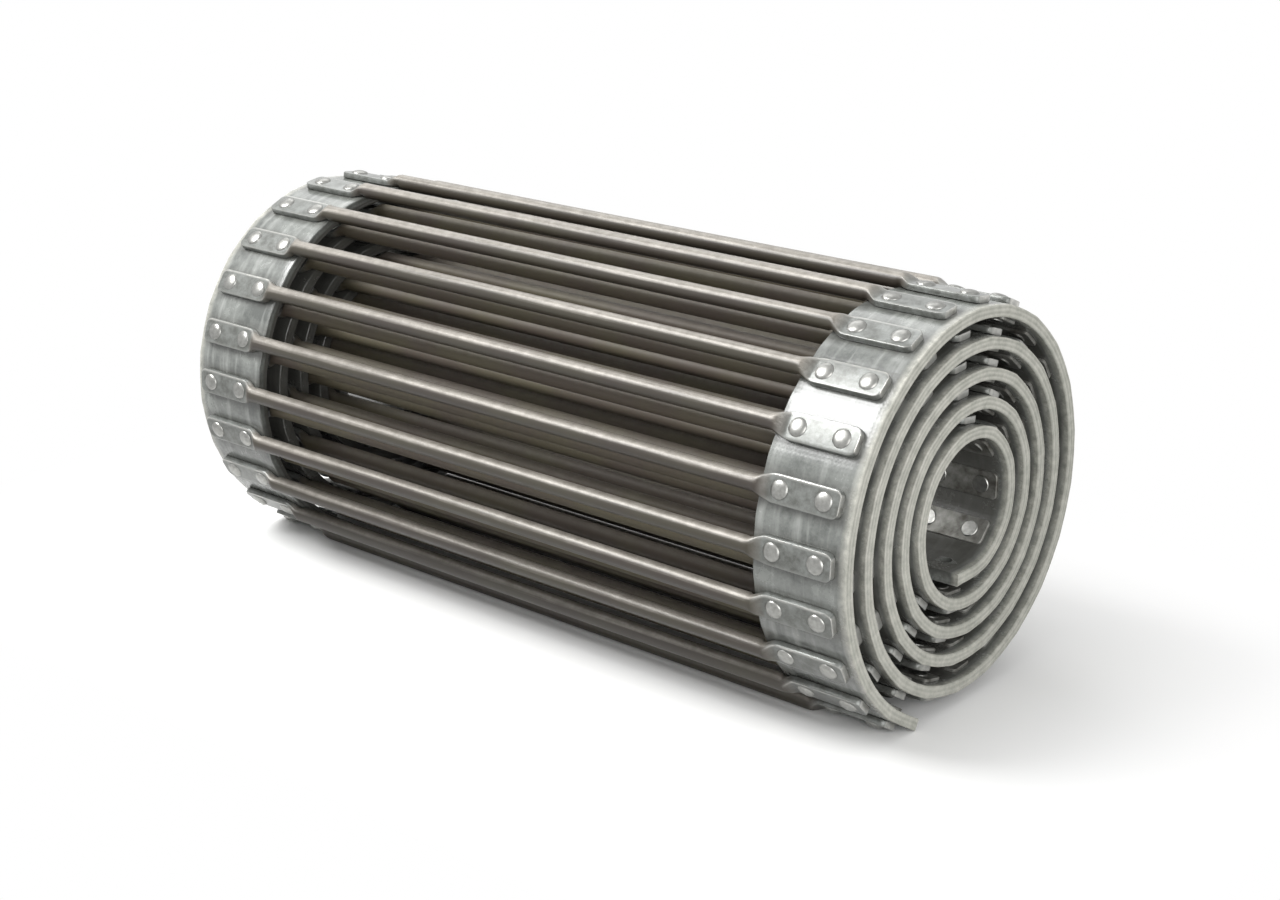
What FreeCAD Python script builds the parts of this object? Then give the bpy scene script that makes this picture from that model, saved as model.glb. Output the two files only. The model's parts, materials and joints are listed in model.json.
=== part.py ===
"""A rolled-up sieve belt: two rubber belts joined by riveted steel rods.

The roll's axis lies along X. Seen from +X, the belt is wound counter-clockwise from its splice
lap at the bottom of the core to its free end, which lies at the front (-Y) near the floor.
Angles are in the YZ plane, from +Y towards +Z.
"""
import FreeCAD
import Part
import math
import os

from FreeCAD import Placement, Rotation, Vector

# Web
overall_width = 520.0  # across both belts
belt_width = 60.0
belt_thickness = 7.0
rod_pitch = 32.0  # along the belt, from rod to rod
rod_count = 76

# Roll
core_radius = 38.73  # to the middle of the belt at the splice lap
winding_clearance = 0.4  # between one lap and the next
outer_slack = 1.8  # more room under the outer laps, which lie loose
loose_rods = 40  # rods in those outer laps
splice_angle = 270.0  # the splice lap lies level at the bottom of the core
splice_margin = 14.0  # belt past the splice holes
tail_margin = 15.0  # belt past the last rod

# Free end, which unrolls link by link
tail_links = 10
back_bend = 10.0  # degrees that a link bends past flat
link_gap = 0.3  # between the belt ends at a link's hinge
relief_margin = 2.0  # degrees of room left when a link is bent back

# Rods
rod_diameter = 10.0
rod_lift = 3.5  # rod axis above the belt's outer face
flat_width = 16.0
flat_thickness = 4.0
flat_corner = 4.0
flat_inset = 7.0  # from the belt's outer edge to the end of the flat
shoulder_inset = 1.0  # from the belt's inner edge to where the round rod starts to slope
shoulder_length = 7.0  # slope from the round rod down to the flat
underside_run = 2.0  # how far the flattened underside runs in past the belt
flat_room = 0.5  # straight belt past each side of a flat

# Rivets and backing plates
rivet_diameter = 7.0
rivet_clearance = 0.05  # round the shank
rivet_inset = 10.0  # from the end of the flat to the outer rivet
rivet_spacing = 28.0
rivet_head_diameter = 11.0
rivet_head_height = 1.8
rivet_tail_diameter = 10.0
rivet_tail_height = 0.8
backing_thickness = 2.0
backing_corner = 3.0

# What follows from these
half_width = overall_width / 2
half_belt = belt_thickness / 2
straight_run = flat_width + 2 * flat_room
bend_run = rod_pitch - straight_run
rod_top = rod_lift + rod_diameter / 2
riveted_stack = flat_thickness + rivet_head_height + backing_thickness + rivet_tail_height
layer = belt_thickness + max(rod_top, riveted_stack) + winding_clearance
belt_inner_edge = half_width - belt_width
flat_end = half_width - flat_inset
slope_start = belt_inner_edge + shoulder_inset
slope_end = slope_start + shoulder_length
flat_length = flat_end - slope_end
rivet_places = (flat_end - rivet_inset, flat_end - rivet_inset - rivet_spacing)
hole_radius = rivet_diameter / 2 + rivet_clearance
first_link = rod_count - tail_links + 1


def outward(angle):
    return Vector(0, math.cos(angle), math.sin(angle))


def along(angle):
    return Vector(0, -math.sin(angle), math.cos(angle))


class Station:
    """One rod's place on the belt's middle line, with the bend that leads on from it."""

    def __init__(self, point, angle, turn):
        self.point = point
        self.angle = angle
        self.turn = turn
        self.bend_radius = bend_run / turn
        self.bend_centre = point + along(angle) * (straight_run / 2) - outward(angle) * self.bend_radius

    def on_straight(self, offset, run):
        return self.point + outward(self.angle) * offset + along(self.angle) * run

    def on_bend(self, offset, part_turn):
        return self.bend_centre + outward(self.angle + part_turn) * (self.bend_radius + offset)

    def hinge(self):
        return self.on_bend(0, self.turn / 2)

    def placement(self):
        base = self.point + outward(self.angle) * half_belt
        return Placement(base, Rotation(Vector(1, 0, 0), math.degrees(self.angle) - 90))


def wind():
    """Stations from the splice lap outward, on the involute whose laps lie one layer apart."""
    angle = math.radians(splice_angle)
    radius_squared = core_radius**2
    point = outward(angle) * core_radius + along(angle) * (layer / (2 * math.pi))
    stations = []
    for index in range(rod_count + 1):
        slack = outer_slack if index >= rod_count - loose_rods else 0
        growth = (layer + slack) * rod_pitch / math.pi
        station = Station(point, angle, rod_pitch / math.sqrt(radius_squared + growth / 2))
        stations.append(station)
        angle += station.turn
        radius_squared += growth
        point = station.on_bend(0, station.turn) + along(angle) * (straight_run / 2)
    return stations


def line(start, end):
    return Part.LineSegment(start, end).toShape()


def bend_edge(station, offset, begin, end):
    points = [station.on_bend(offset, share) for share in (begin, (begin + end) / 2, end)]
    return Part.Arc(*points).toShape()


def hinge_setback(station, offset):
    """The angle, about the bend's centre, by which a belt end stops short of its hinge.

    The outer half is cut back in a V, so that the link can straighten and bend the other way.
    """
    distance = link_gap / 2
    if offset > 0:
        bend_back = math.degrees(station.turn) + back_bend + relief_margin
        distance += offset * math.tan(math.radians(bend_back / 2))
    return math.asin(distance / (station.bend_radius + offset))


def belt_side(stations, first, last, offset):
    """Edges of one face of a belt, from its first end to its last, and the points at both ends."""
    edges = []
    if first == 0:
        start = stations[0].on_straight(offset, -splice_margin)
    else:
        lead = stations[first - 1]
        begin = lead.turn / 2 + hinge_setback(lead, offset)
        start = lead.on_bend(offset, begin)
        edges.append(bend_edge(lead, offset, begin, lead.turn))
    for index in range(first, last + 1):
        station = stations[index]
        run_in = -splice_margin if index == 0 else -straight_run / 2
        run_out = tail_margin if index == rod_count else straight_run / 2
        edges.append(line(station.on_straight(offset, run_in), station.on_straight(offset, run_out)))
        end = station.on_straight(offset, run_out)
        if index < last:
            edges.append(bend_edge(station, offset, 0, station.turn))
        elif index < rod_count:
            stop = station.turn / 2 - hinge_setback(station, offset)
            edges.append(bend_edge(station, offset, 0, stop))
            end = station.on_bend(offset, stop)
    return edges, start, end


def belt_ends(stations, first, last):
    """The points halfway through the belt at both ends."""
    if first == 0:
        start = stations[0].on_straight(0, -splice_margin)
    else:
        lead = stations[first - 1]
        start = lead.on_bend(0, lead.turn / 2 + hinge_setback(lead, 0))
    if last == rod_count:
        end = stations[last].on_straight(0, tail_margin)
    else:
        end = stations[last].on_bend(0, stations[last].turn / 2 - hinge_setback(stations[last], 0))
    return start, end


def belt(stations, first, last, side):
    """The belt on one side (-1 left, 1 right) over some stations, with its rivet holes."""
    outer, outer_start, outer_end = belt_side(stations, first, last, half_belt)
    inner, inner_start, inner_end = belt_side(stations, first, last, -half_belt)
    middle_start, middle_end = belt_ends(stations, first, last)
    edges = outer + [line(outer_end, middle_end), line(middle_end, inner_end)]
    edges += list(reversed(inner)) + [line(inner_start, middle_start), line(middle_start, outer_start)]
    face = Part.Face(Part.Wire(Part.__sortEdges__(edges)))
    face.translate(Vector(side * half_width, 0, 0))
    solid = face.extrude(Vector(-side * belt_width, 0, 0))
    holes = []
    for station in stations[first:last + 1]:
        for place in rivet_places:
            base = station.on_straight(-belt_thickness, 0) + Vector(side * place, 0, 0)
            axis = outward(station.angle)
            holes.append(Part.makeCylinder(hole_radius, 2 * belt_thickness, base, axis))
    return solid.cut(holes).Solids[0]


def rounded_plate(length, width, corner, thickness):
    """A plate with rounded corners that starts at x = 0, centred on y, lying on z = 0."""
    plate = Part.makeBox(length, width, thickness, Vector(0, -width / 2, 0))
    uprights = [edge for edge in plate.Edges if abs(edge.tangentAt(edge.FirstParameter).z) > 0.5]
    return plate.makeFillet(corner, uprights)


def rivet_holes(side, bottom, height):
    return [Part.makeCylinder(hole_radius, height, Vector(side * place, 0, bottom)) for place in rivet_places]


def rod():
    """A rod on the belt's outer face, z = 0, with its forged ends."""
    radius = rod_diameter / 2
    bar = Part.makeCylinder(radius, 2 * slope_end, Vector(-slope_end, 0, rod_lift), Vector(1, 0, 0))
    pieces = []
    for side in (-1, 1):
        under_start = belt_inner_edge - underside_run
        under = Part.makeBox(slope_end - under_start, flat_width, rod_diameter,
                             Vector(under_start, -flat_width / 2, -rod_diameter))
        corners = [Vector(slope_start, 0, rod_top), Vector(slope_end, 0, flat_thickness),
                   Vector(slope_end, 0, rod_top + radius), Vector(slope_start, 0, rod_top + radius)]
        above = Part.Face(Part.makePolygon(corners + corners[:1])).extrude(Vector(0, flat_width, 0))
        above.translate(Vector(0, -flat_width / 2, 0))
        flat = rounded_plate(flat_length, flat_width, flat_corner, flat_thickness)
        flat.translate(Vector(slope_end, 0, 0))
        neck = Part.makePolygon([Vector(slope_start, -radius, 0), Vector(slope_end + flat_corner, -flat_width / 2, 0),
                                 Vector(slope_end + flat_corner, flat_width / 2, 0), Vector(slope_start, radius, 0),
                                 Vector(slope_start, -radius, 0)])
        neck = Part.Face(neck).extrude(Vector(0, 0, flat_thickness))
        cuts = [under, above]
        adds = [flat, neck]
        if side < 0:
            cuts = [shape.mirror(Vector(0, 0, 0), Vector(1, 0, 0)) for shape in cuts]
            adds = [shape.mirror(Vector(0, 0, 0), Vector(1, 0, 0)) for shape in adds]
        bar = bar.cut(cuts)
        pieces += adds
    whole = bar.fuse(pieces).removeSplitter()
    for side in (-1, 1):
        whole = whole.cut(rivet_holes(side, -flat_thickness, 3 * flat_thickness))
    return whole.Solids[0]


def backing_plate(side):
    """The plate under one rod end, on the belt's inner face."""
    plate = rounded_plate(flat_length, flat_width, backing_corner, backing_thickness)
    plate.translate(Vector(slope_end, 0, -belt_thickness - backing_thickness))
    if side < 0:
        plate = plate.mirror(Vector(0, 0, 0), Vector(1, 0, 0))
    return plate.cut(rivet_holes(side, -belt_thickness - 2 * backing_thickness, 3 * backing_thickness)).Solids[0]


def rivet(place):
    """A rivet with a domed head on the flat and a low set tail on the backing plate."""
    shank = rivet_diameter / 2
    head = rivet_head_diameter / 2
    tail = rivet_tail_diameter / 2
    top = flat_thickness + rivet_head_height
    seat = -belt_thickness - backing_thickness
    bottom = seat - rivet_tail_height
    dome_radius = (head**2 + rivet_head_height**2) / (2 * rivet_head_height)
    dome_lean = math.asin(head / dome_radius) / 2
    on_dome = Vector(dome_radius * math.sin(dome_lean), 0, top - dome_radius * (1 - math.cos(dome_lean)))
    corners = [Vector(head, 0, flat_thickness), Vector(shank, 0, flat_thickness), Vector(shank, 0, seat),
               Vector(tail, 0, seat), Vector(tail - rivet_tail_height / 2, 0, bottom), Vector(0, 0, bottom),
               Vector(0, 0, top)]
    edges = [Part.Arc(Vector(0, 0, top), on_dome, corners[0]).toShape()]
    edges += [line(start, end) for start, end in zip(corners, corners[1:])]
    profile = Part.Face(Part.Wire(edges))
    turned = profile.revolve(Vector(0, 0, 0), Vector(0, 0, 1), 360)
    turned.translate(Vector(place, 0, 0))
    return turned.Solids[0]


def placed(shape, station):
    copy = shape.copy()
    copy.Placement = station.placement().multiply(copy.Placement)
    return copy


def lap_of(station):
    return int((station.angle - math.radians(splice_angle)) / (2 * math.pi))


def build():
    """All nodes by name, in the roll's own frame, and the stations they stand on."""
    stations = wind()
    one_rod = rod()
    plates = [backing_plate(side) for side in (-1, 1)]
    rivets = [rivet(side * place) for side in (-1, 1) for place in rivet_places]
    rolled = stations[1:first_link]
    nodes = {
        "left_belt": [belt(stations, 0, first_link - 1, -1)],
        "right_belt": [belt(stations, 0, first_link - 1, 1)],
        "backing_plates": [placed(plate, station) for station in rolled for plate in plates],
        "rivets": [placed(pin, station) for station in rolled for pin in rivets],
    }
    for station in rolled:
        nodes.setdefault(f"lap_{lap_of(station) + 1}_rods", []).append(placed(one_rod, station))
    for link in range(1, tail_links + 1):
        index = first_link + link - 1
        station = stations[index]
        nodes[f"tail_rod_{link}"] = [placed(one_rod, station)]
        nodes[f"tail_left_belt_{link}"] = [belt(stations, index, index, -1)]
        nodes[f"tail_right_belt_{link}"] = [belt(stations, index, index, 1)]
        nodes[f"tail_backing_plates_{link}"] = [placed(plate, station) for plate in plates]
        nodes[f"tail_rivets_{link}"] = [placed(pin, station) for pin in rivets]
    return nodes, stations


def main():
    nodes, stations = build()
    box = FreeCAD.BoundBox()
    for solids in nodes.values():
        for solid in solids:
            box.add(solid.optimalBoundingBox(False, False))
    to_floor = Vector(0, -box.Center.y, -box.ZMin)
    os.makedirs("parts", exist_ok=True)
    for name, solids in nodes.items():
        for solid in solids:
            solid.translate(to_floor)
        shape = solids[0] if len(solids) == 1 else Part.makeCompound(solids)
        shape.exportStep(f"parts/{name}.step")
    print(f"layer {layer:.3f} mm, box {box.XLength:.3f} x {box.YLength:.3f} x {box.ZLength:.3f} mm")
    print(f"roll centre y {to_floor.y:.4f} z {to_floor.z:.4f} mm")
    splice = stations[0].on_straight(half_belt, 0) + to_floor
    print(f"splice lap, outer face y {splice.y:.4f} z {splice.z:.4f} mm, holes at x {rivet_places}")
    for link in range(1, tail_links + 1):
        lead = stations[first_link + link - 2]
        hinge = lead.hinge() + to_floor
        print(f"hinge {link} y {hinge.y:.4f} z {hinge.z:.4f} mm, flat at {math.degrees(lead.turn):.4f} deg")
    tip = stations[rod_count]
    print(f"last rod at {math.degrees(tip.angle) % 360:.2f} deg, {tip.point.Length:.2f} mm from the centre")


main()
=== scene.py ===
import bmesh
import bpy
import json
import math
import random

from mathutils import Matrix, Vector, noise


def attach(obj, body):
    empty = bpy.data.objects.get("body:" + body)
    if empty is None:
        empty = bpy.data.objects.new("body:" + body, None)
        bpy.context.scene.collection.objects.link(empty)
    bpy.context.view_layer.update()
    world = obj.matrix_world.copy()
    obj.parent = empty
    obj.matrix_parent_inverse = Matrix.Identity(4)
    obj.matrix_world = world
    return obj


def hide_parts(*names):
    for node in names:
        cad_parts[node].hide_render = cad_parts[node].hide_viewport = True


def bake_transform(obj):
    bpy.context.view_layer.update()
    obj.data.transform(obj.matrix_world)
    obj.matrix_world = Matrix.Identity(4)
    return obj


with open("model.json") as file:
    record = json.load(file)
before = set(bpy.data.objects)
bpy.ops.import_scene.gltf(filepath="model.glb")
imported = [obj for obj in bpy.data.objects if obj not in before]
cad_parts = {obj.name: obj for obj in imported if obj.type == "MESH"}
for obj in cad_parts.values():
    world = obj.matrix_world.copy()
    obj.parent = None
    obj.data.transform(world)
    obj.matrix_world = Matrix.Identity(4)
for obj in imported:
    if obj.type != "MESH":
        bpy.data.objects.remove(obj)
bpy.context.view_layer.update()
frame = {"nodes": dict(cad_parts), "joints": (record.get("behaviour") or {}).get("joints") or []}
print("frame loaded with", len(frame["nodes"]), "nodes")

mm = 0.001

# The winding, in mm: an involute whose laps lie one layer apart, as in the solids
roll = {
    "coreRadius": 38.73,  # to the middle of the belt at the splice lap
    "layer": 16.0,  # from lap to lap
    "outerSlack": 1.8,  # more room under the loose outer laps
    "looseRods": 40,
    "pitch": 32.0,  # from rod to rod, along the belt
    "rods": 76,
    "tailLinks": 10,
    "plateRun": 17.0,  # belt held straight under a rod's flat end
    "spliceAngle": 270.0,  # degrees from +Y towards +Z
}
bendRun = roll["pitch"] - roll["plateRun"]
firstLink = roll["rods"] - roll["tailLinks"] + 1


def outward(angle):
    return Vector((0, math.cos(angle), math.sin(angle)))


def along(angle):
    return Vector((0, -math.sin(angle), math.cos(angle)))


def windRoll():
    angle = math.radians(roll["spliceAngle"])
    point = outward(angle) * roll["coreRadius"] + along(angle) * roll["layer"] / (2 * math.pi)
    radiusSquared = roll["coreRadius"] ** 2
    found = []
    for index in range(roll["rods"] + 1):
        slack = roll["outerSlack"] if index >= roll["rods"] - roll["looseRods"] else 0
        growth = (roll["layer"] + slack) * roll["pitch"] / math.pi
        turn = roll["pitch"] / math.sqrt(radiusSquared + growth / 2)
        bend = bendRun / turn
        centre = point + along(angle) * roll["plateRun"] / 2 - outward(angle) * bend
        found.append({"point": point, "angle": angle, "turn": turn, "bend": bend, "centre": centre})
        angle += turn
        radiusSquared += growth
        point = centre + outward(angle) * bend + along(angle) * roll["plateRun"] / 2
    return found


stations = windRoll()


def onBelt(run):  # middle of the belt and its outward angle, run mm past the splice holes
    index = min(max(round(run / roll["pitch"]), 0), roll["rods"])
    rest = run - index * roll["pitch"]
    half = roll["plateRun"] / 2
    pastEnd = (index == 0 and rest < 0) or (index == roll["rods"] and rest > 0)
    if not pastEnd and abs(rest) > half:
        if rest < 0:
            index -= 1
            rest += roll["pitch"]
        here = stations[index]
        angle = here["angle"] + here["turn"] * (rest - half) / bendRun
        return here["centre"] + outward(angle) * here["bend"], angle
    here = stations[index]
    return here["point"] + along(here["angle"]) * rest, here["angle"]


def softBelt(run):  # the same with the bends drawn out, as rubber bends
    steps = belt["softSteps"]
    offsets = [step * belt["soften"] / steps for step in range(-steps, steps + 1)]
    found = [onBelt(run + offset) for offset in offsets]
    point = sum((place for place, angle in found), Vector()) / len(found)
    return point, sum(angle for place, angle in found) / len(found)


firstHinge = next(joint for joint in frame["joints"] if joint["name"] == "tail_hinge_1")
hingePlace = onBelt((firstLink - 0.5) * roll["pitch"])[0]
rollCentre = Vector(firstHinge["pos_m"]) - hingePlace * mm
print("roll centre", [round(value, 5) for value in rollCentre])


def toFrame(place):  # mm round the roll's own centre to metres in the shared frame
    return rollCentre + place * mm


def ease(value, start, end):
    share = min(max((value - start) / (end - start), 0), 1)
    return share * share * (3 - 2 * share)


def hexColour(code):
    channels = [int(code[i:i + 2], 16) / 255 for i in (1, 3, 5)]
    linear = [c / 12.92 if c <= 0.04045 else ((c + 0.055) / 1.055) ** 2.4 for c in channels]
    return (*linear, 1.0)


def addNode(tree, kind, inputs=None, **settings):
    node = tree.nodes.new(kind)
    for name, value in settings.items():
        setattr(node, name, value)
    for name, value in (inputs or {}).items():
        if isinstance(value, bpy.types.NodeSocket):
            tree.links.new(value, node.inputs[name])
        else:
            node.inputs[name].default_value = value
    return node


def startMaterial(name):
    material = bpy.data.materials.new(name)
    material.use_nodes = True
    material.node_tree.nodes.clear()
    return material, material.node_tree


def endMaterial(tree, shader):
    addNode(tree, "ShaderNodeOutputMaterial", {"Surface": shader.outputs[0]})


def bandScale(spacing):  # of a wave texture, whose bands stand pi / 10 apart at scale 1
    return math.pi / (10 * spacing)


rubber = {
    "face": "#5A5D5A",
    "dusty": "#868985",
    "scuff": "#B4B6B2",
    # grime and painted shade: the colour for the covered laps deep in the gaps, the inner face and the belt
    # beside each flat end
    "grimeAndShade": "#4A4945",
    "edge": "#8E8F86",
    "ply": "#BEBDB4",
    "cloud": 34.0,  # mm across a dusty patch
    "clouded": (0.38, 0.62),  # noise at which a face is bare and dusty
    "streak": 5.0,  # mm across a scuff
    "streakPull": 0.12,  # width of a scuff over its length along the run
    "scuffed": (0.5, 0.74),  # noise at which a scuff begins and is full
    "scuffShare": 0.45,
    "mottle": 6.0,  # mm across a speckle on the cut edge
    "mottleTurn": (0.6, 0.8, 0.4),  # radians, so that the speckles don't line up with the edge
    "plyGap": 2.6,  # mm from ply to ply
    "plyShare": 0.18,  # how much the plies add to the speckles
    "frayed": (0.36, 0.82),  # both together, where the edge is rubber and where it is bare ply
    "dirtAndShadeByFlat": (8.2, 12.5),  # mm along the belt from a rod, where dirt by its flat end and painted shade beside the flat are full and where they are gone
    "dirtAndShadeByFlatShare": 1.1,
    "grimeAndShadeShare": 0.85,
    "edgeBlend": 0.3,  # mm over which a face turns to cut edge
    "cutEdge": 29.4,  # mm from the belt's middle line to where its cut edge begins
    "wornOuter": (24.5, 29.4),  # the same to where the outer lap's face begins to be pale and is fully so
    "wornCovered": (25.0, 28.3),  # and on the covered laps
    "wornShare": 1.8,
    "thread": 2.6,  # mm from thread to thread; real cloth has 1, which is too fine to show
    "threadShare": 0.5,  # how much the cloth's print adds to the scuffs' relief
    "relief": 0.2,
    "reliefDepth": 0.25,  # mm
    "polished": (0.35, 0.7),  # noise at which a face is smoothest and dullest
    "roughness": (0.2, 0.31),
    "edgeRoughness": 0.8,
}


def dustyFace(tree, cloud, streak):
    low, high = rubber["clouded"]
    clouded = addNode(tree, "ShaderNodeMapRange", {"Value": cloud, "From Min": low, "From Max": high})
    face = addNode(tree, "ShaderNodeMix",
                   {0: clouded.outputs[0], 6: hexColour(rubber["face"]), 7: hexColour(rubber["dusty"])},
                   data_type="RGBA")
    low, high = rubber["scuffed"]
    scuff = addNode(tree, "ShaderNodeMapRange",
                    {"Value": streak, "From Min": low, "From Max": high, "To Max": rubber["scuffShare"]})
    scuffed = addNode(tree, "ShaderNodeMix",
                      {0: scuff.outputs[0], 6: face.outputs[2], 7: hexColour(rubber["scuff"])},
                      data_type="RGBA")
    return scuffed.outputs[2]


def cutPlies(tree, place, speckle):
    plies = addNode(tree, "ShaderNodeTexWave",
                    {"Vector": place, "Scale": bandScale(rubber["plyGap"]), "Distortion": 0.6,
                     "Detail Scale": 0.4, "Phase Offset": math.pi / 2},
                    bands_direction="Z")
    threads = addNode(tree, "ShaderNodeMath", {0: plies.outputs[1], 1: rubber["plyShare"], 2: speckle},
                      operation="MULTIPLY_ADD")
    low, high = rubber["frayed"]
    frayed = addNode(tree, "ShaderNodeMapRange",
                     {"Value": threads.outputs[0], "From Min": low, "From Max": high})
    cut = addNode(tree, "ShaderNodeMix",
                  {0: frayed.outputs[0], 6: hexColour(rubber["edge"]), 7: hexColour(rubber["ply"])},
                  data_type="RGBA")
    return cut.outputs[2]


def settledDirtAndShade(tree, run, grimeAndShade, speckle):  # how dark: the painted shade passed in, and close by each rod dirt by its flat end with painted shade beside it
    fromRod = addNode(tree, "ShaderNodeMath", {0: run, 1: roll["pitch"] / 2}, operation="ADD")
    sincePitch = addNode(tree, "ShaderNodeMath", {0: fromRod.outputs[0], 1: roll["pitch"]},
                         operation="FLOORED_MODULO")
    pastRod = addNode(tree, "ShaderNodeMath", {0: sincePitch.outputs[0], 1: roll["pitch"] / 2},
                      operation="SUBTRACT")
    besideRod = addNode(tree, "ShaderNodeMath", {0: pastRod.outputs[0]}, operation="ABSOLUTE")
    near, far = rubber["dirtAndShadeByFlat"]
    dirtAndShadeByFlat = addNode(tree, "ShaderNodeMapRange",
                      {"Value": besideRod.outputs[0], "From Min": near, "From Max": far,
                       "To Min": rubber["dirtAndShadeByFlatShare"], "To Max": 0.0})
    patchy = addNode(tree, "ShaderNodeMath", {0: dirtAndShadeByFlat.outputs[0], 1: speckle}, operation="MULTIPLY")
    soilAndShade = addNode(tree, "ShaderNodeMath", {0: grimeAndShade, 1: patchy.outputs[0]}, operation="MAXIMUM")
    soiledAndShaded = addNode(tree, "ShaderNodeMath", {0: soilAndShade.outputs[0], 1: rubber["grimeAndShadeShare"]},
                     operation="MULTIPLY")
    return soiledAndShaded.outputs[0]


def rubbedPale(tree, across, covered, speckle):  # how far a face is worn pale towards its cut edge
    wornEnds = [addNode(tree, "ShaderNodeMix", {0: covered, 2: outer, 3: under}).outputs[0]
                for outer, under in zip(rubber["wornOuter"], rubber["wornCovered"])]
    nearEdge = addNode(tree, "ShaderNodeMapRange",
                       {"Value": across, "From Min": wornEnds[0], "From Max": wornEnds[1],
                        "To Max": rubber["wornShare"]})
    rubbedOff = addNode(tree, "ShaderNodeMath", {0: nearEdge.outputs[0], 1: speckle},
                        operation="MULTIPLY", use_clamp=True)
    return rubbedOff.outputs[0]


def clothPrint(tree, place, streak):
    threads = {"Vector": place, "Scale": bandScale(rubber["thread"])}
    warp, weft = [addNode(tree, "ShaderNodeTexWave", threads, bands_direction=way).outputs[1]
                  for way in ("X", "Y")]
    cloth = addNode(tree, "ShaderNodeMath", {0: warp, 1: weft}, operation="MULTIPLY")
    relief = addNode(tree, "ShaderNodeMath", {0: cloth.outputs[0], 1: rubber["threadShare"], 2: streak},
                     operation="MULTIPLY_ADD")
    return relief.outputs[0]


def beltRubber():
    # Calendered rubber over cotton plies: satin grey faces with the print of the cloth,
    # dusty clouds and scuffs along the run, and paler cut edges where the plies show as lines;
    # darkened with painted shade in the covered laps, deep in the gaps and on the inner face
    # (there partly a darker roller side), and with dirt and painted shade beside each flat end
    material, tree = startMaterial("CalenderedBeltRubber")
    place = addNode(tree, "ShaderNodeAttribute", attribute_name="beltPlace").outputs["Vector"]
    run, across = addNode(tree, "ShaderNodeSeparateXYZ", {"Vector": place}).outputs[:2]
    marks = addNode(tree, "ShaderNodeAttribute", attribute_name="beltGrimeAndShade").outputs["Vector"]
    grimeAndShade, covered = addNode(tree, "ShaderNodeSeparateXYZ", {"Vector": marks}).outputs[:2]
    cloud = addNode(tree, "ShaderNodeTexNoise",
                    {"Vector": place, "Scale": 1 / rubber["cloud"], "Detail": 6.0,
                     "Roughness": 0.75}).outputs[0]
    stretched = addNode(tree, "ShaderNodeVectorMath", {0: place, 1: (rubber["streakPull"], 1, 1)},
                        operation="MULTIPLY")
    streak = addNode(tree, "ShaderNodeTexNoise",
                     {"Vector": stretched.outputs[0], "Scale": 1 / rubber["streak"],
                      "Detail": 3.0}).outputs[0]
    turned = addNode(tree, "ShaderNodeMapping", {"Vector": place, "Rotation": rubber["mottleTurn"]})
    speckle = addNode(tree, "ShaderNodeTexNoise",
                      {"Vector": turned.outputs[0], "Scale": 1 / rubber["mottle"], "Detail": 6.0,
                       "Roughness": 0.75}).outputs[0]
    wornAndShaded = addNode(tree, "ShaderNodeMix",
                   {0: settledDirtAndShade(tree, run, grimeAndShade, speckle), 6: dustyFace(tree, cloud, streak),
                    7: hexColour(rubber["grimeAndShade"])},
                   data_type="RGBA")
    onEdge = addNode(tree, "ShaderNodeMapRange",
                     {"Value": across, "From Min": rubber["cutEdge"] - rubber["edgeBlend"],
                      "From Max": rubber["cutEdge"]}).outputs[0]
    pale = addNode(tree, "ShaderNodeMath", {0: rubbedPale(tree, across, covered, speckle), 1: onEdge},
                   operation="MAXIMUM")
    colour = addNode(tree, "ShaderNodeMix",
                     {0: pale.outputs[0], 6: wornAndShaded.outputs[2], 7: cutPlies(tree, place, speckle)},
                     data_type="RGBA")
    grain = addNode(tree, "ShaderNodeMix", {0: onEdge, 2: clothPrint(tree, place, streak), 3: speckle})
    bump = addNode(tree, "ShaderNodeBump",
                   {"Height": grain.outputs[0], "Strength": rubber["relief"],
                    "Distance": rubber["reliefDepth"] * mm})
    low, high = rubber["polished"]
    smooth, dull = rubber["roughness"]
    rough = addNode(tree, "ShaderNodeMapRange",
                    {"Value": cloud, "From Min": low, "From Max": high, "To Min": smooth, "To Max": dull})
    roughness = addNode(tree, "ShaderNodeMix", {0: onEdge, 2: rough.outputs[0], 3: rubber["edgeRoughness"]})
    shader = addNode(tree, "ShaderNodeBsdfPrincipled",
                     {"Base Color": colour.outputs[2], "Roughness": roughness.outputs[0], "IOR": 1.52,
                      "Specular IOR Level": 0.72, "Normal": bump.outputs[0]})
    endMaterial(tree, shader)
    return material


barSteel = {
    "bright": "#928D85",
    "grey": "#79746C",
    "forged": "#868986",
    "forgedDark": "#5F615D",
    "edge": "#C9C8C3",
    "streak": (110.0, 2.5),  # mm along and round the bar
    "streakShare": 0.9,  # how much the streaks add to the way a side faces
    "wearAndPaintedLight": (0.88, 1.42),  # both together, where oxide is whole and where it is cleared; the side towards the painted light clears first, so the upper side is painted pale and the lower side dark
    "fleck": 7.0,  # mm across a patch of paler or darker steel
    "patched": (0.36, 0.62),  # noise at which steel is pale and dark
    "tint": 60.0,  # mm from brown to olive
    "tinted": (0.4, 0.6),  # noise at which oxide is brown and olive
    "bare": (0.3, 0.6),  # noise at which a flat's edge is still covered and rubbed bare
    "metallic": 0.3,  # of cleared steel, under its oil and dust
    "streaked": (0.3, 0.7),  # noise at which a bar is smoothest and dullest
    "filmRoughness": 0.3,  # of the oil left on the bars
    "flatStart": (202.0, 209.0),  # mm from the middle, where the forged end begins
    "flatKept": 0.88,  # how much of a sheltered flat end is free of oxide
    "flatRoughness": 0.28,
    "relief": 0.3,
    "reliefDepth": 0.25,  # mm
}

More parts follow.
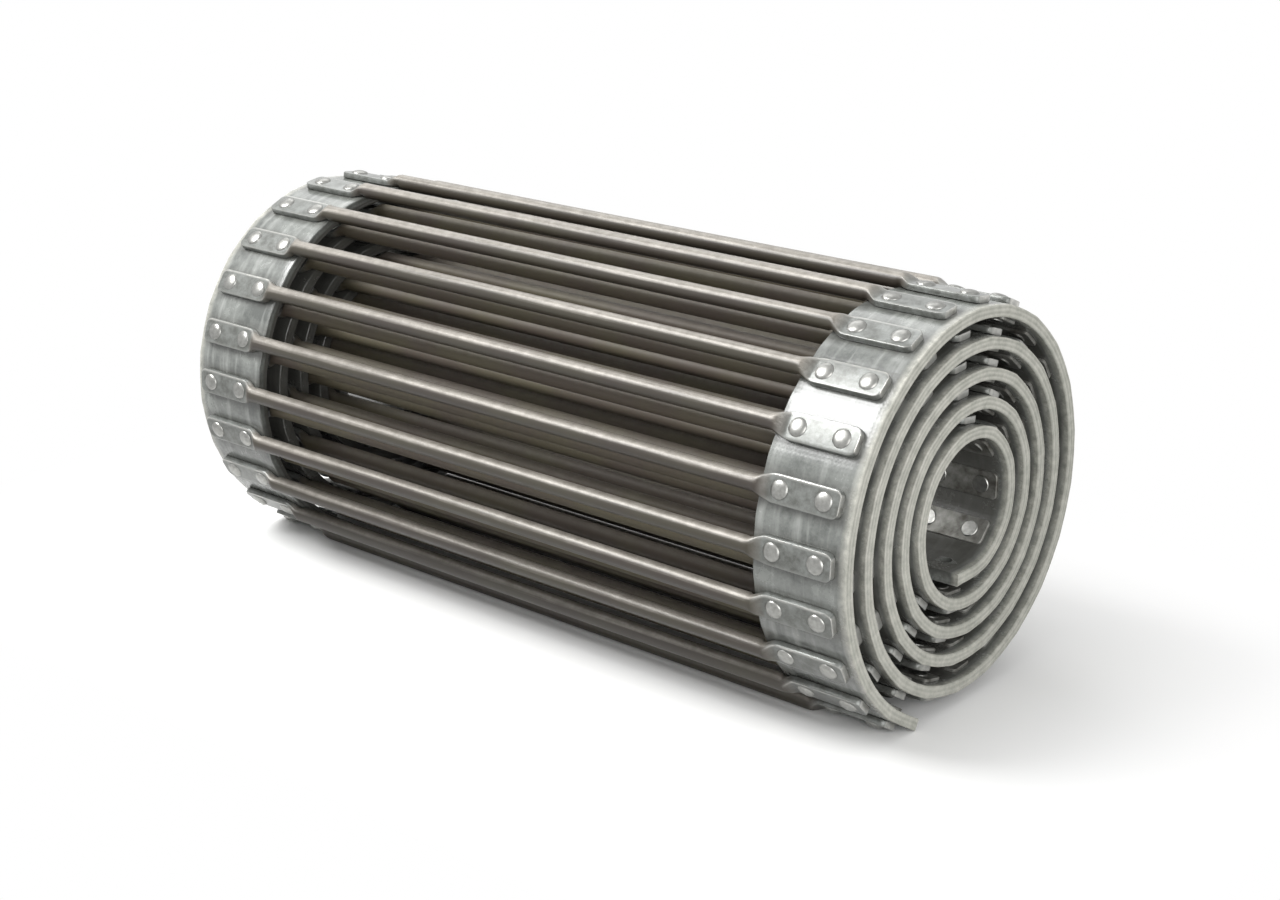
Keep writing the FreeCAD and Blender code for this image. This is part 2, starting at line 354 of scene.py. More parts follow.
outerBars = {
    "name": "HotRolledSpringSteel",
    "scouredAndLit": 1.0,  # how far the upper side is cleared of oxide and painted pale, as if lit from above
    "film": 0.25,  # oil left there
    "rubbed": 1.0,  # how bare the edges of the flats are
    "roughness": (0.36, 0.5),
    "oxide": "#3A342E",
    "olive": "#3E3A30",
}

# The covered laps' bars: rougher, less oiled and with less of the painted pale upper side
innerBars = {
    "name": "BrownedSpringSteel",
    "scouredAndLit": 0.3,
    "film": 0.1,
    "rubbed": 0.7,
    "roughness": (0.55, 0.7),
    "oxide": "#524940",
    "olive": "#575140",
}


def rodPatterns(tree, place, seed):  # streaks along a bar, flecks and a slow tint, different on each bar
    shift = addNode(tree, "ShaderNodeCombineXYZ", {0: seed, 1: seed, 2: seed})
    spot = addNode(tree, "ShaderNodeVectorMath", {0: place, 1: shift.outputs[0]},
                   operation="ADD").outputs[0]
    run, girth = barSteel["streak"]
    stretched = addNode(tree, "ShaderNodeVectorMath", {0: spot, 1: (girth / run, 1, 1)},
                        operation="MULTIPLY")
    streak = addNode(tree, "ShaderNodeTexNoise",
                     {"Vector": stretched.outputs[0], "Scale": 1 / girth, "Detail": 5.0, "Roughness": 0.65})
    fleck = addNode(tree, "ShaderNodeTexNoise",
                    {"Vector": spot, "Scale": 1 / barSteel["fleck"], "Detail": 6.0, "Roughness": 0.7})
    tint = addNode(tree, "ShaderNodeTexNoise", {"Vector": spot, "Scale": 1 / barSteel["tint"]})
    return streak.outputs[0], fleck.outputs[0], tint.outputs[0]


def forgedEnds(tree, place):  # 0 on a bar's round length, 1 on its flat ends
    x = addNode(tree, "ShaderNodeSeparateXYZ", {"Vector": place}).outputs[0]
    fromMiddle = addNode(tree, "ShaderNodeMath", {0: x}, operation="ABSOLUTE")
    start, full = barSteel["flatStart"]
    onFlat = addNode(tree, "ShaderNodeMapRange",
                     {"Value": fromMiddle.outputs[0], "From Min": start, "From Max": full})
    return onFlat.outputs[0]


def cleanSteel(tree, fleck, onFlat):
    low, high = barSteel["patched"]
    patched = addNode(tree, "ShaderNodeMapRange",
                      {"Value": fleck, "From Min": low, "From Max": high}).outputs[0]
    bar = addNode(tree, "ShaderNodeMix",
                  {0: patched, 6: hexColour(barSteel["bright"]), 7: hexColour(barSteel["grey"])},
                  data_type="RGBA")
    pressed = addNode(tree, "ShaderNodeMix",
                      {0: patched, 6: hexColour(barSteel["forged"]), 7: hexColour(barSteel["forgedDark"])},
                      data_type="RGBA")
    dressed = addNode(tree, "ShaderNodeMix", {0: onFlat, 6: bar.outputs[2], 7: pressed.outputs[2]},
                      data_type="RGBA")
    return dressed.outputs[2]


def oxideFilm(tree, finish, tint):
    low, high = barSteel["tinted"]
    tinted = addNode(tree, "ShaderNodeMapRange", {"Value": tint, "From Min": low, "From Max": high})
    oxide = addNode(tree, "ShaderNodeMix",
                    {0: tinted.outputs[0], 6: hexColour(finish["oxide"]), 7: hexColour(finish["olive"])},
                    data_type="RGBA")
    return oxide.outputs[2]


def rolledSteel(finish):
    # Hot-rolled spring steel, oiled: a warm grey bar, painted pale and shiny along its upper side as if lit
    # from above and painted dark with brown oxide underneath as shade; mottled grey forged flats with
    # bright rubbed edges, brightest on the upper edges as a painted highlight
    material, tree = startMaterial(finish["name"])
    place = addNode(tree, "ShaderNodeAttribute", attribute_name="rodPlace").outputs["Vector"]
    marks = addNode(tree, "ShaderNodeAttribute", attribute_name="rodMarksAndLight").outputs["Vector"]
    edge, towardPaintedLight, seed = addNode(tree, "ShaderNodeSeparateXYZ", {"Vector": marks}).outputs
    streak, fleck, tint = rodPatterns(tree, place, seed)
    onFlat = forgedEnds(tree, place)
    # streaks mixed with the painted light: the side towards it comes out pale and the side away dark
    mottle = addNode(tree, "ShaderNodeMath", {0: streak, 1: barSteel["streakShare"], 2: towardPaintedLight},
                     operation="MULTIPLY_ADD")
    low, high = barSteel["wearAndPaintedLight"]
    wearAndPaintedLight = addNode(tree, "ShaderNodeMapRange",
                   {"Value": mottle.outputs[0], "From Min": low, "From Max": high,
                    "To Max": finish["scouredAndLit"]},
                   interpolation_type="SMOOTHSTEP").outputs[0]
    kept = addNode(tree, "ShaderNodeMath", {0: onFlat, 1: barSteel["flatKept"]}, operation="MULTIPLY")
    clearedAndLit = addNode(tree, "ShaderNodeMath", {0: wearAndPaintedLight, 1: kept.outputs[0]}, operation="MAXIMUM").outputs[0]
    aged = addNode(tree, "ShaderNodeMix",
                   {0: clearedAndLit, 6: oxideFilm(tree, finish, tint), 7: cleanSteel(tree, fleck, onFlat)},
                   data_type="RGBA")
    low, high = barSteel["bare"]
    rubbed = addNode(tree, "ShaderNodeMapRange",
                     {"Value": fleck, "From Min": low, "From Max": high, "To Max": finish["rubbed"]})
    bare = addNode(tree, "ShaderNodeMath", {0: edge, 1: rubbed.outputs[0]}, operation="MULTIPLY").outputs[0]
    colour = addNode(tree, "ShaderNodeMix", {0: bare, 6: aged.outputs[2], 7: hexColour(barSteel["edge"])},
                     data_type="RGBA")
    shine = addNode(tree, "ShaderNodeMapRange", {"Value": clearedAndLit, "To Max": barSteel["metallic"]})
    metallic = addNode(tree, "ShaderNodeMath", {0: shine.outputs[0], 1: bare}, operation="MAXIMUM")
    low, high = barSteel["streaked"]
    smooth, dull = finish["roughness"]
    rough = addNode(tree, "ShaderNodeMapRange",
                    {"Value": streak, "From Min": low, "From Max": high, "To Min": smooth, "To Max": dull})
    roughness = addNode(tree, "ShaderNodeMix",
                        {0: onFlat, 2: rough.outputs[0], 3: barSteel["flatRoughness"]})
    oil = addNode(tree, "ShaderNodeMapRange", {"Value": wearAndPaintedLight, "To Max": finish["film"]})
    bump = addNode(tree, "ShaderNodeBump",
                   {"Height": fleck, "Strength": barSteel["relief"],
                    "Distance": barSteel["reliefDepth"] * mm})
    shader = addNode(tree, "ShaderNodeBsdfPrincipled",
                     {"Base Color": colour.outputs[2], "Metallic": metallic.outputs[0],
                      "Roughness": roughness.outputs[0], "Normal": bump.outputs[0],
                      "Coat Weight": oil.outputs[0], "Coat Roughness": barSteel["filmRoughness"]})
    endMaterial(tree, shader)
    return material


zinc = {
    "bright": "#ACACA8",
    "dull": "#7C7C79",
    "grain": 2.2,  # mm
    "roughness": (0.28, 0.42),
}


def zincPlate():
    # Zinc-plated steel rivets, pressed: pale and bright, with dull patches from handling
    material, tree = startMaterial("ZincPlatedSteel")
    place = addNode(tree, "ShaderNodeTexCoord").outputs["Object"]
    patch = addNode(tree, "ShaderNodeTexNoise",
                    {"Vector": place, "Scale": 1 / (zinc["grain"] * mm), "Detail": 1.0})
    colour = addNode(tree, "ShaderNodeMix",
                     {0: patch.outputs[0], 6: hexColour(zinc["bright"]), 7: hexColour(zinc["dull"])},
                     data_type="RGBA")
    smooth, dull = zinc["roughness"]
    rough = addNode(tree, "ShaderNodeMapRange",
                    {"Value": patch.outputs[0], "To Min": smooth, "To Max": dull})
    shader = addNode(tree, "ShaderNodeBsdfPrincipled",
                     {"Base Color": colour.outputs[2], "Metallic": 1.0, "Roughness": rough.outputs[0]})
    endMaterial(tree, shader)
    return material


backing = {
    "pale": "#92928D",
    "dark": "#504E48",
    "patch": 9.0,  # mm
    "patched": (0.35, 0.65),  # noise at which the sheet is pale and dark
    "roughness": (0.35, 0.6),
}


def galvanisedSheet():
    # Galvanised sheet, stamped: grey with soft darker patches and a dull shine
    material, tree = startMaterial("GalvanisedSheet")
    place = addNode(tree, "ShaderNodeTexCoord").outputs["Object"]
    patch = addNode(tree, "ShaderNodeTexNoise",
                    {"Vector": place, "Scale": 1 / (backing["patch"] * mm), "Detail": 5.0,
                     "Roughness": 0.6}).outputs[0]
    low, high = backing["patched"]
    spread = addNode(tree, "ShaderNodeMapRange", {"Value": patch, "From Min": low, "From Max": high})
    colour = addNode(tree, "ShaderNodeMix",
                     {0: spread.outputs[0], 6: hexColour(backing["pale"]), 7: hexColour(backing["dark"])},
                     data_type="RGBA")
    smooth, dull = backing["roughness"]
    rough = addNode(tree, "ShaderNodeMapRange", {"Value": patch, "To Min": smooth, "To Max": dull})
    shader = addNode(tree, "ShaderNodeBsdfPrincipled",
                     {"Base Color": colour.outputs[2], "Metallic": 0.5, "Roughness": rough.outputs[0]})
    endMaterial(tree, shader)
    return material


rubberFinish = beltRubber()
barFinish = rolledSteel(outerBars)
innerBarFinish = rolledSteel(innerBars)
rivetFinish = zincPlate()
plateFinish = galvanisedSheet()
print("materials made")


def addPiece(name, points, faces, finish, marks=None, sharp=40):
    mesh = bpy.data.meshes.new(name)
    mesh.from_pydata(points, [], faces)
    for markName, values in (marks or {}).items():
        layer = mesh.attributes.new(markName, "FLOAT_VECTOR", "POINT")
        layer.data.foreach_set("vector", [number for value in values for number in value])
    solid = bmesh.new()
    solid.from_mesh(mesh)
    bmesh.ops.recalc_face_normals(solid, faces=solid.faces)
    solid.to_mesh(mesh)
    solid.free()
    mesh.polygons.foreach_set("use_smooth", [True] * len(mesh.polygons))
    mesh.set_sharp_from_angle(angle=math.radians(sharp))
    mesh.materials.append(finish)
    piece = bpy.data.objects.new(name, mesh)
    bpy.context.scene.collection.objects.link(piece)
    return piece


def skinRings(first, rings, size):  # faces of a closed tube of rings, with a cap on each end
    faces = []
    for ring in range(rings - 1):
        low = first + ring * size
        for i in range(size):
            j = (i + 1) % size
            faces.append((low + i, low + j, low + size + j, low + size + i))
    faces.append(tuple(first + i for i in reversed(range(size))))
    faces.append(tuple(first + (rings - 1) * size + i for i in range(size)))
    return faces


# Rivets, in mm
rivet = {
    "places": (243.0, 215.0),  # from the middle of the web
    "shank": 3.5,
    "head": 5.5,
    "headHeight": 1.8,
    "tail": 5.0,
    "tailHeight": 0.8,
    "around": 20,
    "domeRings": 6,
    "lean": 0.05,  # heads are never set quite square
    "seed": 11,
}

# Belts, in mm
belt = {
    "outerEdge": 260.0,  # from the middle of the web
    "width": 60.0,
    "thickness": 7.0,
    "edgeRound": 0.8,
    "edgeSteps": 3,
    "plies": (1.3, -1.3),  # lift of the two ply lines in the cut edge
    "plyDepth": 0.15,
    "plyHalf": 0.45,
    "facePoints": 7,  # across each face
    "plateRings": (-1, -0.5, 0, 0.5, 1),  # shares of half the straight belt under a rod's flat end
    "bendRings": 6,
    "ringSlack": 0.001,  # so that rounding drops no end ring
    "soften": 13.0,  # how far a bend spreads under the rod ends
    "softSteps": 3,
    "bulge": 0.35,  # rubber pressed up between the rod ends
    "wander": 0.45,  # how far the cut edges stray
    "wanderRun": 70.0,  # along the belt from stray to stray
    "wanderApart": 40.0,  # keeps the strays of the two belts unlike
    "wanderSeed": 3.0,
    "patternApart": 4000.0,  # keeps the patterns of the two belts unlike
    "gapShadeReach": (1.8, 7.0),  # from the outer cut edge, where the painted shade deep in the gaps begins and is full
    "coverRun": 60.0,  # how gradually a lap turns covered, taking the painted shade of the covered laps
    "spliceMargin": 14.0,
    "holeRadius": 3.55,
    "holeSides": 32,
    "tailMargin": 15.0,
    "sharp": 55,  # degrees
}


outerRun = next(index for index, here in enumerate(stations)
                if here["angle"] > stations[-1]["angle"] - 2 * math.pi) * roll["pitch"]


def beltSection():  # (across, lift) all round; across is positive towards the web's outer edge
    half = belt["width"] / 2
    top = belt["thickness"] / 2
    corner = belt["edgeRound"]
    quarter = [math.radians(90 * step / belt["edgeSteps"]) for step in range(belt["edgeSteps"] + 1)]
    edge = [(half - corner + corner * math.sin(a), top - corner + corner * math.cos(a)) for a in quarter]
    for lift in belt["plies"]:
        edge += [(half, lift + belt["plyHalf"]), (half - belt["plyDepth"], lift),
                 (half, lift - belt["plyHalf"])]
    edge += [(half - corner + corner * math.cos(a), -top + corner - corner * math.sin(a)) for a in quarter]
    count = belt["facePoints"]
    inFace = [(half - corner) * (1 - 2 * (i + 1) / (count + 1)) for i in range(count)]
    section = edge + [(across, -top) for across in inFace]
    section += [(-across, lift) for across, lift in reversed(edge)]
    return section + [(across, top) for across in reversed(inFace)]


def beltRuns(start, end):  # where the rings stand between two places on the belt
    runs = {round(start, 4), round(end, 4)}
    for index in range(roll["rods"] + 1):
        here = index * roll["pitch"]
        runs.update(round(here + roll["plateRun"] / 2 * share, 4) for share in belt["plateRings"])
        bends = [roll["plateRun"] / 2 + bendRun * step / belt["bendRings"]
                 for step in range(1, belt["bendRings"])]
        runs.update(round(here + bend, 4) for bend in bends)
    slack = belt["ringSlack"]
    return [run for run in sorted(runs) if start - slack <= run <= end + slack]


def strayed(run, side):
    spot = Vector((run / belt["wanderRun"], side * belt["wanderApart"], belt["wanderSeed"]))
    return belt["wander"] * noise.noise(spot)


def sweepBelt(name, side, start, end):
    section = beltSection()
    middle = belt["outerEdge"] - belt["width"] / 2
    points = []
    places = []
    grimeAndShade = []
    runs = beltRuns(start, end)
    for run in runs:
        covered = 1 - ease(run, outerRun - belt["coverRun"], outerRun + belt["coverRun"])
        point, angle = softBelt(run)
        rest = abs(run - round(run / roll["pitch"]) * roll["pitch"])
        swell = belt["bulge"] * ease(rest, roll["plateRun"] / 2, roll["pitch"] / 2)
        stray = strayed(run, side)
        for across, lift in section:
            raised = lift + (swell if lift > 0 else 0)
            place = point + outward(angle) * raised
            place.x = side * (middle + across + stray)
            points.append(toFrame(place))
            places.append((run + belt["patternApart"] * (side + 1), across, lift))
            # painted shade: a covered lap's outer face darkens deeper into the gap, and the inner face
            # darkens away from the outer edge, partly as a darker roller side
            gapShade = ease(belt["width"] / 2 - across, *belt["gapShadeReach"])
            grimeAndShade.append(((covered if lift > 0 else 1) * gapShade, covered, 0))
    faces = skinRings(0, len(runs), len(section))
    marks = {"beltPlace": places, "beltGrimeAndShade": grimeAndShade}
    piece = addPiece(name, points, faces, rubberFinish, marks, belt["sharp"])
    return piece


def punchHoles(piece, side):  # the open holes of the splice lap
    place, angle = onBelt(0)
    cutters = bmesh.new()
    for x in rivet["places"]:
        middle = toFrame(place)
        middle.x = side * x * mm
        lean = outward(angle).to_track_quat("Z", "X").to_matrix().to_4x4()
        bmesh.ops.create_cone(cutters, cap_ends=True, segments=belt["holeSides"],
                              radius1=belt["holeRadius"] * mm, radius2=belt["holeRadius"] * mm,
                              depth=3 * belt["thickness"] * mm, matrix=Matrix.Translation(middle) @ lean)
    mesh = bpy.data.meshes.new("punch")
    cutters.to_mesh(mesh)
    cutters.free()
    punch = bpy.data.objects.new("punch", mesh)
    bpy.context.scene.collection.objects.link(punch)
    cut = piece.modifiers.new("holes", "BOOLEAN")
    cut.object = punch
    cut.solver = "EXACT"
    bpy.context.view_layer.update()
    punched = piece.evaluated_get(bpy.context.evaluated_depsgraph_get())
    piece.data = bpy.data.meshes.new_from_object(punched)
    piece.modifiers.clear()
    bpy.data.objects.remove(punch)


def plateEdge(index, way):  # end of the straight belt at a station, in the shared frame
    return toFrame(onBelt(index * roll["pitch"] + way * roll["plateRun"] / 2)[0])


def bodyOf(index):
    return "roll" if index < firstLink else "tail_link_%d" % (index - firstLink + 1)


def makeBelts():
    for side, sideName in ((-1, "left"), (1, "right")):
        rolledEnd = (firstLink - 1) * roll["pitch"]
        rolled = sweepBelt(sideName + "BeltRolled", side, -belt["spliceMargin"], rolledEnd)
        punchHoles(rolled, side)
        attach(rolled, "roll")
        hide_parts(sideName + "_belt")
        for link in range(1, roll["tailLinks"] + 1):
            index = firstLink + link - 1
            span = sweepBelt("%sBeltSpan%02d" % (sideName, link), side,
                             (index - 1) * roll["pitch"], index * roll["pitch"])
            plateEdge(index - 1, 1)
            plateEdge(index, -1)
            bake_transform(span)
            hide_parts("tail_%s_belt_%d" % (sideName, link))
        lastRun = roll["rods"] * roll["pitch"]
        tip = sweepBelt(sideName + "BeltTip", side, lastRun, lastRun + belt["tailMargin"])
        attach(tip, bodyOf(roll["rods"]))


makeBelts()
print("belts swept")

# Rods, in mm, standing on the belt's outer face
rod = {
    "radius": 5.0,
    "lift": 3.5,  # axis above the belt's outer face
    "sides": 24,
    "flatWidth": 16.0,
    "flatThickness": 4.0,
    "flatCorner": 4.0,
    "flatEnd": 253.0,
    "undersideStart": 198.0,  # from the middle of the web, where the underside begins to rise
    "undersideEnd": 200.0,  # and where it lies on the belt's face
    "spreadStart": 199.0,
    "slopeStart": 201.0,
    "slopeEnd": 208.0,
    "crownEnd": 209.0,
    "neckEnd": 212.0,
    "barRings": (0.0, 0.25, 0.5, 0.75, 0.93, 1.0),  # shares of the way to the underside's start
    "neckRings": 10,
    "cornerRings": (1.0, 0.6, 0.35, 0.15, 0.04, 0.0),  # shares of the flat's corner
    "rimRound": 0.35,
    "rimBare": (0.5, 0.1),  # from the flat's end, where its rim begins to be bare and is fully so
    "cornerPower": 6,  # the higher, the narrower the bare corners of the flats
    "shaded": 0.75,  # how much less the corners that face the free end are rubbed bare; on the front of the roll these are the flats' lower edges, so this is partly wear and partly a painted highlight on the upper edges
    "shadedTurn": 0.3,  # cosine on both sides of the flat's middle, over which that sets in
    "squareness": 10.0,  # of the forged flat; a circle is 2
    "bow": 0.35,
    "sway": 1.5,  # how far a wound lap's bar may lie out of line with its two flats
    "swaySeed": 289,  # leaves few straight sight lines through the roll in the main view
    "seed": 7,
    "patternApart": 900.0,  # keeps the patterns of the bars unlike
    "paintedLightSide": 100.0,  # degrees from +Y towards +Z: the side painted pale as if lit from above, the side away painted dark as shade
}


swayDice = random.Random(rod["swaySeed"])
sways = [0] + [swayDice.uniform(-1, 1) * rod["sway"] for index in range(1, firstLink)]
sways += [0] * roll["tailLinks"]


def rodSection(distance):  # half width, bottom, top and squareness, that far from the middle
    spread = ease(distance, rod["spreadStart"], rod["neckEnd"])
    half = rod["radius"] + (rod["flatWidth"] / 2 - rod["radius"]) * spread
    past = distance - (rod["flatEnd"] - rod["flatCorner"])
    if past > 0:
        half -= rod["flatCorner"] - math.sqrt(max(rod["flatCorner"] ** 2 - past ** 2, 0))
    risen = ease(distance, rod["undersideStart"], rod["undersideEnd"])
    bottom = (rod["lift"] - rod["radius"]) * (1 - risen)
    crown = rod["lift"] + rod["radius"]
    top = crown + (rod["flatThickness"] - crown) * ease(distance, rod["slopeStart"], rod["crownEnd"])
    square = 2 + (rod["squareness"] - 2) * ease(distance, rod["slopeStart"], rod["neckEnd"])
    return half, bottom, top, square


def rodRings():  # where the rings stand, from one end to the other
    bar = [rod["undersideStart"] * share for share in rod["barRings"]]
    step = (rod["neckEnd"] - rod["undersideStart"]) / rod["neckRings"]
    neck = [rod["undersideStart"] + step * (i + 1) for i in range(rod["neckRings"])]
    corner = [rod["flatEnd"] - rod["flatCorner"] * share for share in rod["cornerRings"]]
    flat = [(rod["neckEnd"] + corner[0]) / 2]
    half = bar + neck + flat + corner
    return [-distance for distance in reversed(half[1:])] + half


def power(value, exponent):
    return math.copysign(abs(value) ** exponent, value)


def rodMesh(index, dice, points, faces, places, marks):
    here = stations[index]
    base = here["point"] + outward(here["angle"]) * belt["thickness"] / 2
    bowOut = dice.uniform(-1, 1) * rod["bow"]
    bowAlong = dice.uniform(-1, 1) * rod["bow"]
    seed = dice.uniform(0, rod["patternApart"])
    rings = rodRings()
    rimStart, rimFull = [rod["flatEnd"] - inside for inside in rod["rimBare"]]
    first = len(points)
    for x in rings:
        half, bottom, top, square = rodSection(abs(x))
        ending = rod["rimRound"] if abs(x) >= rod["flatEnd"] else 0
        bend = max(1 - (x / rod["undersideStart"]) ** 2, 0)
        forged = ease(abs(x), rod["slopeStart"], rod["slopeEnd"])
        rim = ease(abs(x), rimStart, rimFull)
        aside = bowAlong * bend + sways[index] * (1 - ease(abs(x), rod["slopeStart"], rod["neckEnd"]))
        for side in range(rod["sides"]):
            t = 2 * math.pi * side / rod["sides"]
            sideways = (half - ending) * power(math.cos(t), 2 / square)
            lift = (bottom + top) / 2 + ((top - bottom) / 2 - ending) * power(math.sin(t), 2 / square)
            place = base + outward(here["angle"]) * (lift + bowOut * bend)
            place += along(here["angle"]) * (sideways + aside)
            place.x = x
            points.append(toFrame(place))
            places.append((x, sideways, lift))
            # corners facing the free end rubbed less: on the front of the roll that leaves the flats' upper
            # edges bright as a painted highlight
            shade = rod["shaded"] * ease(math.cos(t), -rod["shadedTurn"], rod["shadedTurn"])
            corner = abs(math.sin(2 * t)) ** rod["cornerPower"] * (1 - shade)
            steep = 2 - 2 / square
            normal = outward(here["angle"]) * power(math.sin(t), steep) * 2 / (top - bottom)
            normal += along(here["angle"]) * power(math.cos(t), steep) / half
            # how far each side faces the painted light
            towardPaintedLight = normal.normalized().dot(outward(math.radians(rod["paintedLightSide"])))
            marks.append((forged * max(corner, rim), towardPaintedLight, seed))
    faces.extend(skinRings(first, len(rings), rod["sides"]))


def makeRods(name, indices, dice, finish):
    points, faces, places, marks = [], [], [], []
    for index in indices:
        rodMesh(index, dice, points, faces, places, marks)
    piece = addPiece(name, points, faces, finish, {"rodPlace": places, "rodMarksAndLight": marks})
    return piece


def lapOf(index):
    return int((stations[index]["angle"] - stations[0]["angle"]) / (2 * math.pi)) + 1


def makeAllRods():
    dice = random.Random(rod["seed"])
    rolled = range(1, firstLink)
    for lap in sorted({lapOf(index) for index in rolled}):
        finish = barFinish if lap == lapOf(firstLink) else innerBarFinish
        indices = [index for index in rolled if lapOf(index) == lap]
        piece = makeRods("rodsOfLap%d" % lap, indices, dice, finish)
        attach(piece, "roll")
        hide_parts("lap_%d_rods" % lap)
    for link in range(1, roll["tailLinks"] + 1):
        piece = makeRods("tailRod%02d" % link, [firstLink + link - 1], dice, barFinish)
        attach(piece, "tail_link_%d" % link)
        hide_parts("tail_rod_%d" % link)


makeAllRods()
print("rods forged")

# Backing plates, in mm
plate = {
    "from": 208.0,
    "to": 253.0,
    "width": 16.0,
    "thickness": 2.0,
    "corner": 3.0,
    "rim": 0.4,
    "cornerSteps": 5,
}


def rivetProfile():  # (radius, lift above the belt's outer face), head to tail
    seat = rod["flatThickness"]
    under = -belt["thickness"] - plate["thickness"]
    leans = [math.pi / 2 * (step + 1) / rivet["domeRings"] for step in range(rivet["domeRings"])]
    dome = [(rivet["head"] * math.sin(a), seat + rivet["headHeight"] * math.cos(a)) for a in leans]
    bottom = under - rivet["tailHeight"]
    tail = [(rivet["tail"], under), (rivet["tail"], under - rivet["tailHeight"] / 2),
            (rivet["tail"] - rivet["tailHeight"] / 2, bottom)]
    return dome + [(rivet["shank"], seat), (rivet["shank"], under)] + tail


def rivetMesh(index, x, dice, points, faces):
    here = stations[index]
    base = here["point"] + outward(here["angle"]) * belt["thickness"] / 2
    profile = rivetProfile()
    first = len(points)
    leanX = dice.uniform(-rivet["lean"], rivet["lean"])
    leanAlong = dice.uniform(-rivet["lean"], rivet["lean"])
    for radius, lift in profile:
        for step in range(rivet["around"]):
            t = 2 * math.pi * step / rivet["around"]
            sideX = radius * math.cos(t)
            sideways = radius * math.sin(t)
            proud = lift - rod["flatThickness"]
            tilt = (sideX * leanX + sideways * leanAlong) * ease(proud, 0, rivet["headHeight"])
            place = base + outward(here["angle"]) * (lift + tilt) + along(here["angle"]) * sideways
            place.x = x + sideX
            points.append(toFrame(place))
    faces.extend(skinRings(first, len(profile), rivet["around"]))


def plateOutline(inset):  # (x, sideways) round a plate on the right belt
    corner = plate["corner"] - inset
    low = plate["from"] + plate["corner"]
    high = plate["to"] - plate["corner"]
    reach = plate["width"] / 2 - plate["corner"]
    outline = []
    for quarter, (x, sideways) in enumerate(((high, reach), (low, reach), (low, -reach), (high, -reach))):
        for step in range(plate["cornerSteps"]):
            t = math.pi / 2 * (quarter + step / (plate["cornerSteps"] - 1))
            outline.append((x + corner * math.cos(t), sideways + corner * math.sin(t)))
    return outline


def plateMesh(index, side, points, faces):
    here = stations[index]
    base = here["point"] - outward(here["angle"]) * belt["thickness"] / 2
    loops = [(plate["rim"], 0), (0, -plate["rim"]), (0, plate["rim"] - plate["thickness"]),
             (plate["rim"], -plate["thickness"])]
    first = len(points)
    for inset, lift in loops:
        for x, sideways in plateOutline(inset):
            place = base + outward(here["angle"]) * lift + along(here["angle"]) * sideways
            place.x = side * x
            points.append(toFrame(place))
    faces.extend(skinRings(first, len(loops), 4 * plate["cornerSteps"]))


def makeRivets(name, indices, dice):
    points, faces = [], []
    for index in indices:
        for side in (-1, 1):
            for x in rivet["places"]:
                rivetMesh(index, side * x, dice, points, faces)
    piece = addPiece(name, points, faces, rivetFinish)
    return piece


def makePlates(name, indices):
    points, faces = [], []
    for index in indices:
        for side in (-1, 1):
            plateMesh(index, side, points, faces)
    piece = addPiece(name, points, faces, plateFinish)
    return piece


def makeFastenings():
    dice = random.Random(rivet["seed"])
    groups = [("", range(1, firstLink), "roll", "rivets", "backing_plates")]
    for link in range(1, roll["tailLinks"] + 1):
        groups.append(("%02d" % link, [firstLink + link - 1], "tail_link_%d" % link,
                       "tail_rivets_%d" % link, "tail_backing_plates_%d" % link))
    for ending, indices, body, rivetNode, plateNode in groups:
        heads = makeRivets("rivets" + ending, indices, dice)
        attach(heads, body)
        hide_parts(rivetNode)
        backs = makePlates("backingPlates" + ending, indices)
        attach(backs, body)
        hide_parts(plateNode)


makeFastenings()
print("rivets and backing plates set")

# Floor, light and camera
studio = {
    "floorSize": 40.0,  # metres
    "floorColour": "#F3F3F2",
    "footprint": (0.25, 0.09, 0),  # metres, half of what the roll covers
    "fade": (0.0, 0.22),  # metres from there, where the floor turns to plain white
    "bounceColour": "#8F8F8E",  # what the floor sends back up
    "worldLight": (0.18, 0.85),  # low down and overhead
    "worldLow": -0.1,  # height of the directions that count as low, where overhead is 1
}


lamps = {  # metres and watts; along is the way of a lamp's first size
    "key": {"from": (-0.44, -0.48, 0.76), "along": (0.84, 0.13, 0.52), "size": (0.75, 0.8),
            "distance": 1.52, "power": 27.5},
    "fill": {"from": (0.89, -0.40, 0.16), "along": (0, 1, 0), "size": (1.0, 1.0),
             "distance": 1.25, "power": 10.5},
    "back": {"from": (-0.52, 0.42, 0.74), "along": (1, 0, 0), "size": (1.4, 0.9),
             "distance": 1.9, "power": 6.5},
}


